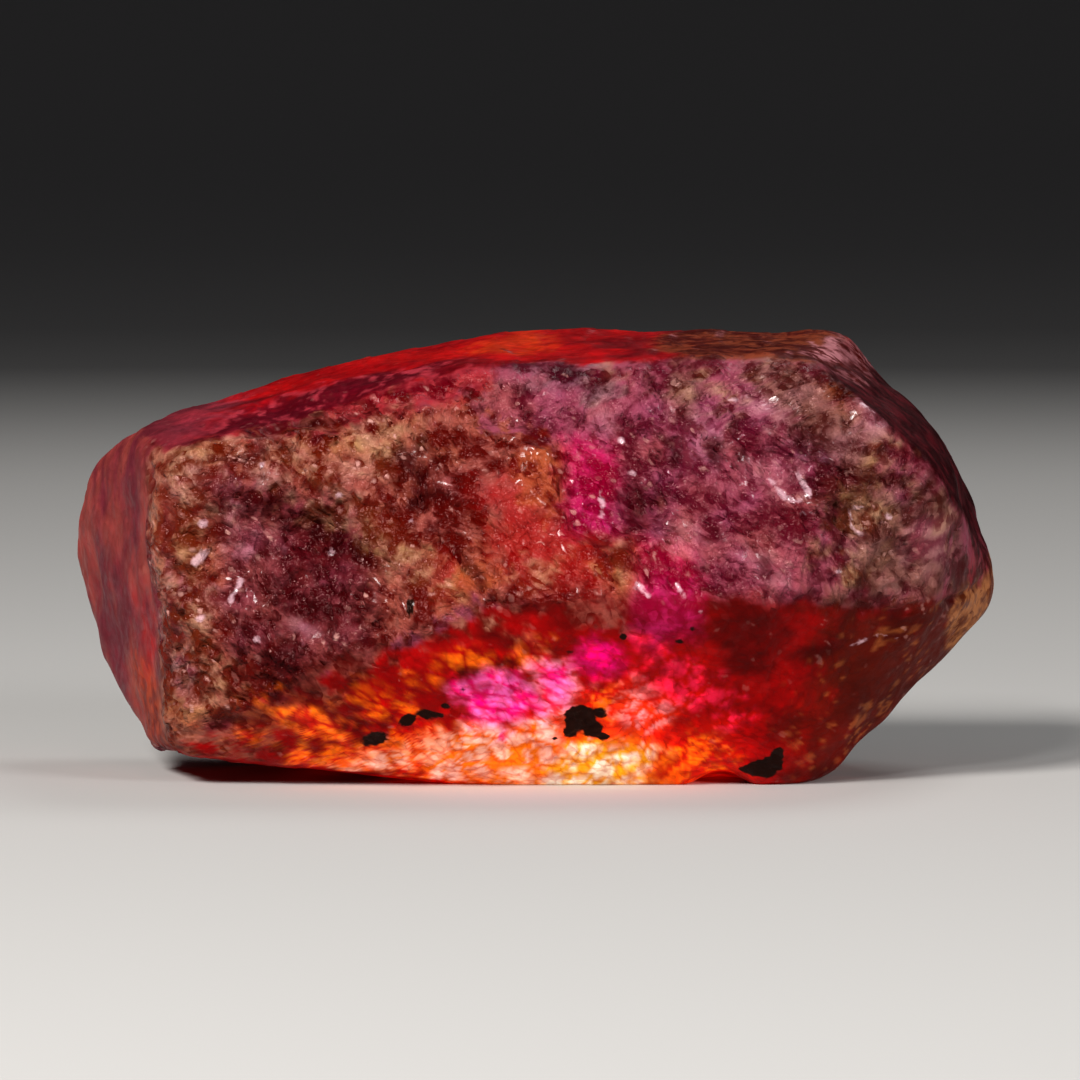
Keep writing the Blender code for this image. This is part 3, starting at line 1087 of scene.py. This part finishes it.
class Recipe:
    """One material under construction."""

    def __init__(self, name: str) -> None:
        """Starts an empty material.

        Args:
            name: The material's name.
        """
        self.material = bpy.data.materials.new(name)
        self.material.use_nodes = True
        self.tree = self.material.node_tree
        self.tree.nodes.clear()

    def node(
        self, kind: str, settings: dict[str, Any], sockets: dict[Any, Any], output: Any = 0
    ) -> Value:
        """Adds a node: its settings first, then the values or links of its sockets.

        Args:
            kind: Blender's name for the node type.
            settings: Properties by name.
            sockets: Input values or Values, by index, name or identifier.
            output: Which output is wanted, by index, name or identifier.

        Returns:
            The wrapped output.
        """
        made = self.tree.nodes.new(kind)
        for name, value in settings.items():
            setattr(made, name, value)
        for key, value in sockets.items():
            target = self._find(made.inputs, key)
            if isinstance(value, Value):
                self.tree.links.new(value.socket, target)
            else:
                target.default_value = value
        return Value(self, self._find(made.outputs, output))

    @staticmethod
    def _find(group: Any, key: Any) -> bpy.types.NodeSocket:
        """Finds a socket by index, identifier or name."""
        matches = [socket for socket in group if socket.identifier == key]
        return matches[0] if matches else group[key]

    def field(self, name: str, output: str = "Fac") -> Value:
        """Something that the mesh carries, by name: a number, or its Vector or Color."""
        return self.node("ShaderNodeAttribute", {"attribute_name": name}, {}, output)

    def mix(self, share: Any, first: Any, second: Any) -> Value:
        """Blends two colours, by how much of the second is taken."""
        sockets = {"Factor_Float": share, "A_Color": first, "B_Color": second}
        return self.node("ShaderNodeMix", {"data_type": "RGBA"}, sockets, "Result_Color")

    def vector(self, operation: str, first: Any, second: Any, output: str = "Vector") -> Value:
        """Adds one Vector Math node of two inputs."""
        return self.node("ShaderNodeVectorMath", {"operation": operation}, {0: first, 1: second}, output)

    def noise(self, place: Value, scale: float, detail: float, rough: float) -> Value:
        """Fractal noise about 0.5: its waves to a millimetre, its finer octaves and how strong they are."""
        sockets = {"Vector": place, "Scale": scale, "Detail": detail, "Roughness": rough}
        return self.node("ShaderNodeTexNoise", {}, sockets, "Fac")

    def shade(self, shader: Value) -> bpy.types.Material:
        """Links a finished shader to the output.

        Args:
            shader: The shader.

        Returns:
            The material.
        """
        output = self.tree.nodes.new("ShaderNodeOutputMaterial")
        self.tree.links.new(shader.socket, output.inputs["Surface"])
        return self.material


# ---- The crystal's colours and finish. ----


def blend(first: Any, second: Any, share: Array) -> Array:
    """Mixes two colours, each one for all or one for each point, by each point's share of the second."""
    first, second = np.array(first), np.array(second)
    return first + (second - first) * share[:, None]


@dataclass
class Paint:
    """The colours at the mesh's points: of the troughs, of the crests, and how much glows as painted light.
    """

    trough: Array
    crest: Array
    glow: Array
    grain: float = 0.16
    flake_grain: float = 0.3

    def lay(self, share: Array, trough: Any, crest: Any, glow: Any) -> None:
        """Lays two colours and a glow over what is there.

        Args:
            share: How much of them is taken at each point.
            trough: The colour of the troughs.
            crest: The colour of the crests.
            glow: How much of the colour is given off as painted light.
        """
        self.trough = blend(self.trough, trough, share)
        self.crest = blend(self.crest, crest, share)
        self.glow = self.glow + (glow - self.glow) * share

    def lay_even(self, share: Array, colour: Array, glow: Any, grain: float) -> None:
        """Lays one colour that the crumbs change only a little, by its grain."""
        self.lay(share, colour * (1.0 - grain), colour * (1.0 + grain), glow)

    def lay_zone(self, layer: Layer, depth: Array, pattern: Array | None) -> None:
        """Lays a zone's colours.

        Args:
            layer: The zone's layer.
            depth: How deep each point is in the zone.
            pattern: What its two colours are mixed by, or None where the crumbs do it.
        """
        share = smooth_step(depth / (2.0 * layer.soft) + 0.5) * layer.strength
        trough, crest = srgb(*layer.trough), srgb(*layer.crest)
        if pattern is None:
            self.lay(share, trough, crest, layer.glow)
        else:
            grain = self.flake_grain if layer.pattern is Pattern.FOLDS else self.grain
            self.lay_even(share, blend(trough, crest, pattern), layer.glow, grain)


@dataclass(frozen=True)
class RubyFinish:
    """The look of the raw crystal, on a mesh that carries its paint.

    The crumbs mix the paint's two colours, and their glow is given off as painted light. Over them come
    painted shade in the creases between the glowing flakes and in the pits, pale flecks that also stand in
    for painted glints, painted highlights at the glints, and black grains. Small facets tilt the surface,
    and a few of them are polished.
    """

    # Strength of the painted light given off by the paint's glow.
    glow: float = 0.8
    specular: float = 0.1
    refraction: float = 1.77
    reflection: Colour = (1.0, 0.6, 0.58, 1.0)
    smoothest: float = 0.16
    roughest: float = 0.42
    glassy_matte: float = 0.25
    bump: float = 0.07
    facets: float = 7.0
    polish_roughness: float = 0.16
    # Painted shade: what the colour is multiplied by in the creases between glowing flakes.
    crease_shade: Point3 = (0.7, 0.3, 0.22)
    # Painted shade in the hollows and pits.
    pit_shade: Colour = srgb(54, 0, 4)
    # Pale crumbs of the crust, which also stand in for small painted glints.
    fleck_and_glint: Colour = srgb(226, 168, 158)
    # Painted highlight at the glint spots.
    painted_glint: Colour = srgb(232, 188, 198)
    grain: Colour = srgb(10, 3, 1)
    grain_edge: Colour = srgb(44, 20, 10)

    def material(self) -> bpy.types.Material:
        """Builds the crystal's material.

        Returns:
            The material, for a mesh that carries the fields of RubyCrystal.
        """
        recipe = Recipe("raw_ruby")
        fine = recipe.noise(recipe.field("curl", "Vector"), 3.6, 3.0, 0.56)
        rough_edge = fine - 0.5
        drawn = recipe.field("drawn", "Vector")
        cells = recipe.node("ShaderNodeTexVoronoi", {}, {"Vector": drawn, "Scale": self.facets}, "Distance")
        own, seed = cells.other("Color"), cells.other("Position")
        polish, chance, tone = (recipe.vector("DOT_PRODUCT", own, axis, "Value") for axis in np.eye(3))
        tilt = recipe.vector("SUBTRACT", own, (0.5, 0.5, 0.5))
        away = recipe.vector("SUBTRACT", drawn, seed)
        facet = recipe.vector("DOT_PRODUCT", tilt, away, "Value") * self.facets

        texture, lit = recipe.field("texture"), recipe.field("glow")
        crumbs = recipe.field("mottle") * 0.55 + rough_edge * 1.7 + facet * 0.4 + (tone - 0.5) * 0.35
        trough, crest = recipe.field("trough", "Color"), recipe.field("crest", "Color")
        colour = recipe.mix(crumbs.over(-0.35, 0.45), trough, crest)
        # Painted shade in the creases between flakes of painted light.
        crease_shade = (cells + rough_edge * 0.8).over(0.4, 0.8) * lit
        colour = recipe.mix(crease_shade, colour, recipe.vector("MULTIPLY", colour, self.crease_shade))
        # Painted shade in the pits: darker where the surface lies below its evened-out self.
        pit_shade = recipe.field("cavity").over(0.01, 0.09)
        colour = recipe.mix(pit_shade * 0.55, colour, self.pit_shade)
        # Pale flecks on chosen cells: crumbs, and also small painted glints.
        chosen = chance.over(0.72, 1.0)
        fleck_and_glint = chosen * chosen * (1.0 - (cells + rough_edge * 1.9).over(0.05, 0.4))
        colour = recipe.mix(fleck_and_glint * recipe.field("flecks"), colour, self.fleck_and_glint)
        # Painted highlights at the glint spots, which also get the clear coat.
        painted_glint = (recipe.field("painted_glint") + rough_edge * 0.3).over(-0.02, 0.06)
        colour = recipe.mix(painted_glint * 0.7, colour, self.painted_glint)
        grain = (recipe.field("grain") + rough_edge * 0.12 + (cells - 0.45) * 0.06).over(-0.02, 0.02)
        colour = recipe.mix(grain, colour, recipe.mix(fine, self.grain, self.grain_edge))

        height = (facet * 1.3 + fine * 2.2 - cells * 0.4) * (texture * 0.95 + 0.05)
        bump = {"Strength": 1.0, "Distance": self.bump * MM, "Height": height}
        crust = fine.over(0.3, 0.7) * (self.roughest - self.smoothest) + self.smoothest
        polished = polish.over(0.6, 0.7) * crumbs.over(-0.1, 0.3)
        shader = recipe.node(
            "ShaderNodeBsdfPrincipled",
            {},
            {
                "Base Color": colour,
                "Roughness": crust + (1.0 - texture) * self.glassy_matte,
                "IOR": self.refraction,
                "Specular IOR Level": self.specular,
                "Specular Tint": self.reflection,
                "Coat Weight": polished * recipe.field("shine") + painted_glint,
                "Coat Roughness": self.polish_roughness,
                # Painted light: the glowing share of the colour is given off, though the stone is no lamp.
                "Emission Color": recipe.mix(lit * (1.0 - grain), (0.0, 0.0, 0.0, 1.0), colour),
                "Emission Strength": self.glow,
                "Normal": recipe.node("ShaderNodeBump", {}, bump, "Normal"),
            },
            "BSDF",
        )
        material = recipe.shade(shader)
        material.cycles.emission_sampling = "NONE"
        return material


# ---- The pieces. ----


def add_object(name: str, data: Any) -> bpy.types.Object:
    """Puts a new object with its data into the scene.

    Args:
        name: The object's name.
        data: Its mesh, lamp or camera.

    Returns:
        The object.
    """
    made = bpy.data.objects.new(name, data)
    bpy.context.scene.collection.objects.link(made)
    return made


def add_mesh(name: str, points: Array, faces: list, material: bpy.types.Material) -> bpy.types.Object:
    """Puts a smooth mesh of one material into the scene.

    Args:
        name: The name of the object and its mesh.
        points: The mesh's points.
        faces: Each face's points, by number.
        material: The material.

    Returns:
        The object.
    """
    mesh = bpy.data.meshes.new(name)
    mesh.from_pydata(points * MM, [], faces)
    mesh.shade_smooth()
    mesh.materials.append(material)
    return add_object(name, mesh)


@dataclass
class RubyCrystal:
    """The crystal itself: form, relief, zones and finish."""

    form: CrystalForm = field(default_factory=CrystalForm)
    finish: RubyFinish = field(default_factory=RubyFinish)
    body_red: Colour = srgb(150, 44, 44)
    body_mauve: Colour = srgb(154, 74, 92)
    body_trough: Colour = srgb(80, 8, 12)
    # Where the painted light from below is brightest, how far it reaches and how strong it peaks.
    glow_source: Point3 = (0.9, -2.6, -0.3)
    glow_reach: Point3 = (3.4, 3.2, 2.5)
    tone: Point3 = (0.02, 0.07, -0.24)
    dash_lean: float = 40.0
    dash_draw: float = 0.6
    ragged: float = 0.22
    glow_peak: float = 1.15
    hollow_passes: int = 6

    def texture(self, points: Array, facing: Array) -> Array:
        """How broken the surface is: 1 on the crust, less on the glassy band, the ends and the top.

        Args:
            points: The points.
            facing: Their normals without the fine relief.

        Returns:
            A share from 0 to 1 for each point.
        """
        lower = smooth_step(zone_depth(LOWER_BAND, points, facing) / 0.3 + 0.5)
        left = smooth_step((-facing[:, 0] - 0.5) * 4.0) * smooth_step((points[:, 1] + 2.7) / 0.9)
        top = smooth_step((facing[:, 2] - 0.55) * 3.0)
        right = smooth_step((facing[:, 0] - 0.35) * 3.0)
        return (1.0 - 0.75 * lower) * (1.0 - 0.95 * left) * (1.0 - 0.9 * top) * (1.0 - 0.88 * right)

    def surface(self) -> tuple[Surface, Array]:
        """The form with all its relief, its underside flat, filling the solid's box.

        Returns:
            The finished surface, and the normals that it had before its fine relief.
        """
        surface = self.form.surface()
        normals = surface.normals()
        surface.raise_by(sum(relief.height(surface.points, normals) for relief in COARSE_RELIEF))
        facing, points = surface.normals(), surface.points
        broken, drawn = (
            sum(relief.height(points, facing) for relief in reliefs)
            for reliefs in (BROKEN_RELIEF, DRAWN_RELIEF)
        )
        height = broken * self.texture(points, facing) + drawn
        surface.raise_by(height * smooth_step(points[:, 2] / 0.5))
        surface.points[:, 2] = np.maximum(surface.points[:, 2], 0.0)
        low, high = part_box(NODE)
        surface.fit_box(np.array(low) / MM, np.array(high) / MM)
        return surface, facing

    def patterns(self, points: Array) -> dict[Pattern, Array]:
        """The patterns that zones are coloured by, each from 0 to 1.

        Args:
            points: The points.

        Returns:
            Each pattern's value at each point. Crumbs are left to the material.
        """
        clouds = fractal_noise(warp_places(points, 1.1, 0.3) / np.array((1.1, 1.0, 0.7)), 4)
        streaks_down = fractal_noise(warp_places(points, 0.8, 0.25) / np.array((0.5, 0.8, 1.7)), 4)
        dashes = fractal_noise(warp_places(points, 0.8, 0.1) / np.array((0.28, 0.5, 0.16)), 3)
        flecks = cell_noise(warp_places(points, 0.4, 0.12) / 0.2)
        ragged = 0.42 - flecks.first + 0.6 * fractal_noise(points / 0.5, 3)
        return {
            Pattern.CLOUDS: smooth_step(clouds * 0.8 + 0.45),
            Pattern.STREAKS: smooth_step(streaks_down * 0.9 + 0.47),
            Pattern.DASHES: smooth_step(dashes * 1.8 - 0.1),
            Pattern.FOLDS: Folds().pattern(points),
            Pattern.FLECKS: smooth_step(ragged / 0.3) * (flecks.own(TONE_SHIFT) > 0.0),
        }

    def paint(self, points: Array, facing: Array) -> Paint:
        """Lays the body colour, the zones of the crust, painted light from below and the zones of painted
        light.

        Args:
            points: The points.
            facing: Their normals without the fine relief.

        Returns:
            The finished paint.
        """
        ragged = fractal_noise(points / 0.6, 3)
        edge = fractal_noise(points / 0.26, 3)
        patterns = self.patterns(points)
        broad = smooth_step(fractal_noise(points / 2.4, 2) + 0.5)
        body = blend(self.body_red, self.body_mauve, broad)
        paint = Paint(np.array(self.body_trough), body, np.zeros(len(points)))

        def lay_zones(zones: type[Enum]) -> None:
            """Lays zones over what is there, their borders made ragged.

            Args:
                zones: The zones, in their order.
            """
            for layer in (zone.value for zone in zones):
                depth = zone_depth(layer.patches, points, facing) + self.ragged * ragged + layer.wander * edge
                paint.lay_zone(layer, depth, patterns.get(layer.pattern))

        lay_zones(Crust)
        # Painted light from below: a glow that falls off from a point under the stone, on the glassy band.
        reach = (points - np.array(self.glow_source)) / np.array(self.glow_reach)
        glow_falloff = np.exp(-((reach**2).sum(axis=1))) * self.glow_peak + 0.12 * ragged + 0.05 * edge
        inside = smooth_step(zone_depth(LOWER_BAND, points, facing) / 0.3 + 0.4 + 0.4 * edge)
        places, colours = zip(*GLOW_RAMP)
        glow_colour = np.stack([np.interp(glow_falloff, places, part) for part in zip(*colours)], axis=1)
        warm = smooth_step((glow_falloff - 0.08) / 0.32) * inside
        paint.lay_even(warm, glow_colour, 0.35 + 0.35 * smooth_step(glow_falloff), paint.flake_grain)
        lay_zones(Glow)
        tone = fractal_noise(warp_places(points, 1.2, 0.3) / 0.75 + 40.0, 3) * self.texture(points, facing)
        for colours in (paint.trough, paint.crest):
            colours[:, :3] *= 1.0 + tone[:, None] * np.array(self.tone)
        return paint

    def fields(self, surface: Surface, facing: Array) -> dict[str, Array]:
        """What the material reads, one row for each point.

        Args:
            surface: The finished surface.
            facing: Its normals without the fine relief.

        Returns:
            Arrays by name: warped places for noise (curl) and for facets (drawn), the paint's colours and
            painted light (glow), large crumbs (mottle), how broken the surface is (texture), how many facets
            are polished (shine) and flecked (flecks), how hollow it is (cavity), and the depth in grains and
            painted glints (painted_glint).
        """
        points, normals = surface.points, surface.normals()
        paint = self.paint(points, facing)
        texture = self.texture(points, facing)
        shaded = smooth_step(zone_depth(Crust.SHADE.value.patches, points, facing) / 0.4 + 0.5)
        brown = smooth_step(zone_depth(Crust.BROWN.value.patches, points, facing) + 0.6)
        lit = texture * (1.0 - shaded)
        evened = np.column_stack([surface.spread(part, self.hollow_passes) for part in points.T])
        drawn = turned(warp_places(points, 0.7, 0.22), self.dash_lean)
        return {
            "curl": warp_places(points, 0.55, 0.1),
            "drawn": drawn * np.array((self.dash_draw, 1.0, 1.0)),
            "trough": paint.trough,
            "crest": np.minimum(paint.crest, 1.0),
            "glow": paint.glow,
            "mottle": fractal_noise(warp_places(points, 0.9, 0.35) / np.array((0.5, 0.5, 0.36)), 3),
            "texture": texture,
            "shine": lit * smooth_step(fractal_noise(points / 0.9, 2) * 1.2 + 0.3) * 0.7,
            "flecks": np.clip((0.75 - 0.4 * smooth_step(points[:, 0] + 2.0)) * lit + 0.15 * brown, 0.0, 0.8),
            "cavity": ((evened - points) * normals).sum(axis=1),
            "grain": zone_depth(GRAINS, points, facing),
            "painted_glint": zone_depth(PAINTED_GLINTS, points, facing),
        }

    def build(self) -> bpy.types.Object:
        """Makes the crystal's mesh, with the fields that its material reads.

        Returns:
            The object, in place.
        """
        surface, facing = self.surface()
        faces, material = surface.quads.tolist(), self.finish.material()
        piece = add_mesh("ruby_crystal_surface", surface.points, faces, material)
        kinds = {1: ("FLOAT", "value"), 3: ("FLOAT_VECTOR", "vector"), 4: ("FLOAT_COLOR", "color")}
        for name, values in self.fields(surface, facing).items():
            kind, slot = kinds[values.size // len(values)]
            layer = piece.data.attributes.new(name, kind, "POINT")
            layer.data.foreach_set(slot, values.astype(np.float32).ravel())
        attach(piece, BODY)
        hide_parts(NODE)
        return piece


@dataclass(frozen=True)
class Lamp:
    """A square soft lamp that points at the crystal: its side in millimetres, its power in watts."""

    name: str
    place: Point3
    side: float
    power: float
    colour: Point3 = (1.0, 1.0, 1.0)
    target: Point3 = (0.0, 0.0, 4.0)

    def build(self) -> None:
        """Makes the lamp."""
        data = bpy.data.lights.new(self.name, "AREA")
        data.size = self.side * MM
        data.energy = self.power
        data.color = self.colour
        lamp = add_object(self.name, data)
        lamp.location = Vector(self.place) * MM
        aim = Vector(self.target) * MM - lamp.location
        lamp.rotation_euler = aim.to_track_quat("-Z", "Y").to_euler()


@dataclass
class Studio:
    """A pale floor that sweeps up all round, soft lamps and the camera."""

    floor_radius: float = 200.0
    sweep_radius: float = 160.0
    wall_height: float = 260.0
    floor_drop: float = 0.01
    rings: tuple[float, ...] = (0.02, 0.1, 0.25, 0.5, 0.75, 1.0)
    sweep_steps: int = 12
    spokes: int = 72
    floor_colour: Colour = srgb(198, 196, 193)
    wall_colour: Colour = srgb(92, 91, 92)
    lamps: tuple[Lamp, ...] = (
        Lamp("key", (-80.0, -110.0, 120.0), 45.0, 0.25, (1.0, 0.98, 0.96)),
        Lamp("fill", (110.0, -100.0, 60.0), 45.0, 0.09, (0.97, 0.98, 1.0)),
        Lamp("spark", (-40.0, -120.0, 90.0), 16.0, 0.035),
        Lamp("back", (60.0, 90.0, 160.0), 70.0, 0.06),
    )
    room_colour: Colour = (0.92, 0.94, 1.0, 1.0)
    room_strength: float = 0.07
    camera_target: Point3 = (0.21, 0.0, 4.665)
    camera_distance: float = 120.0
    camera_rise: float = 4.0
    lens: float = 200.0

    def profile(self) -> Array:
        """The floor's section: flat rings, a quarter circle (R + s sin t, s - s cos t), then a wall.

        Returns:
            Rows of radius and height, from the middle outwards.
        """
        flat = [(self.floor_radius * share, 0.0) for share in self.rings]
        turn = np.linspace(0.0, pi / 2, self.sweep_steps + 1)[1:]
        outwards, up = self.sweep_radius * np.sin(turn), self.sweep_radius * (1.0 - np.cos(turn))
        bend = np.column_stack([self.floor_radius + outwards, up])
        return np.vstack([flat, bend, [(self.floor_radius + self.sweep_radius, self.wall_height)]])

    def floor(self) -> bpy.types.Object:
        """The profile turned round the z axis: (r cos t, r sin t, h), with a point at the middle.

        Returns:
            The floor.
        """
        radius, height = self.profile().T[:, :, None]
        spoke = np.arange(self.spokes)
        turn = 2.0 * pi * spoke / self.spokes
        parts = (radius * np.cos(turn), radius * np.sin(turn), height * np.ones(self.spokes))
        grid = np.stack(parts, axis=-1)
        points = np.vstack([[(0.0, 0.0, 0.0)], grid.reshape(-1, 3)]) - (0.0, 0.0, self.floor_drop)
        here = 1 + spoke + self.spokes * np.arange(len(radius) - 1)[:, None]
        following = np.roll(here, -1, axis=1)
        ring = np.stack([here, here + self.spokes, following + self.spokes, following], axis=-1)
        middle = np.column_stack([np.zeros_like(spoke), here[0], following[0]])
        faces = middle.tolist() + ring.reshape(-1, 4).tolist()
        floor = add_mesh("studio_floor", points, faces, self.floor_material())
        return floor

    def floor_material(self) -> bpy.types.Material:
        """A matt pale grey that darkens towards the wall.

        Returns:
            The material.
        """
        recipe = Recipe("pale_floor")
        place = recipe.node("ShaderNodeTexCoord", {}, {}, "Object")
        far = recipe.vector("LENGTH", place, (0.0, 0.0, 0.0), "Value")
        start, end = 0.45 * self.floor_radius * MM, 1.3 * self.floor_radius * MM
        colour = recipe.mix(far.over(start, end), self.floor_colour, self.wall_colour)
        return recipe.shade(recipe.node("ShaderNodeBsdfDiffuse", {}, {"Color": colour}, "BSDF"))

    def light(self) -> None:
        """Makes the key from the upper left, the fill, a small spark and the back lamp, in a dim room."""
        for lamp in self.lamps:
            lamp.build()
        world = bpy.data.worlds.new("soft_room")
        world.use_nodes = True
        background = world.node_tree.nodes["Background"]
        background.inputs["Color"].default_value = self.room_colour
        background.inputs["Strength"].default_value = self.room_strength
        bpy.context.scene.world = world

    def camera(self) -> None:
        """Makes the camera: a long lens, a little above level."""
        data = bpy.data.cameras.new("camera")
        data.lens = self.lens
        data.sensor_width = 36.0
        data.clip_start = 5.0 * MM
        data.clip_end = 2000.0 * MM
        camera = add_object("camera", data)
        rise = radians(self.camera_rise)
        back = Vector((0.0, -cos(rise), sin(rise)))
        camera.location = (Vector(self.camera_target) + back * self.camera_distance) * MM
        camera.rotation_euler = (-back).to_track_quat("-Z", "Y").to_euler()
        bpy.context.scene.camera = camera

    def build(self) -> bpy.types.Object:
        """Sets up the lamps, the camera and the floor.

        Returns:
            The floor.
        """
        self.light()
        self.camera()
        bpy.context.scene.view_settings.view_transform = "Standard"
        bpy.context.scene.view_settings.look = "Medium High Contrast"
        return self.floor()


def main() -> None:
    """Builds the studio and the crystal, and reports how many faces each has."""
    logging.basicConfig(level=logging.INFO, format="%(message)s")
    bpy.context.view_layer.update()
    for piece in (Studio().build(), RubyCrystal().build()):
        log.info("%s: %d faces", piece.name, len(piece.data.polygons))


if __name__ == "__main__":
    main()
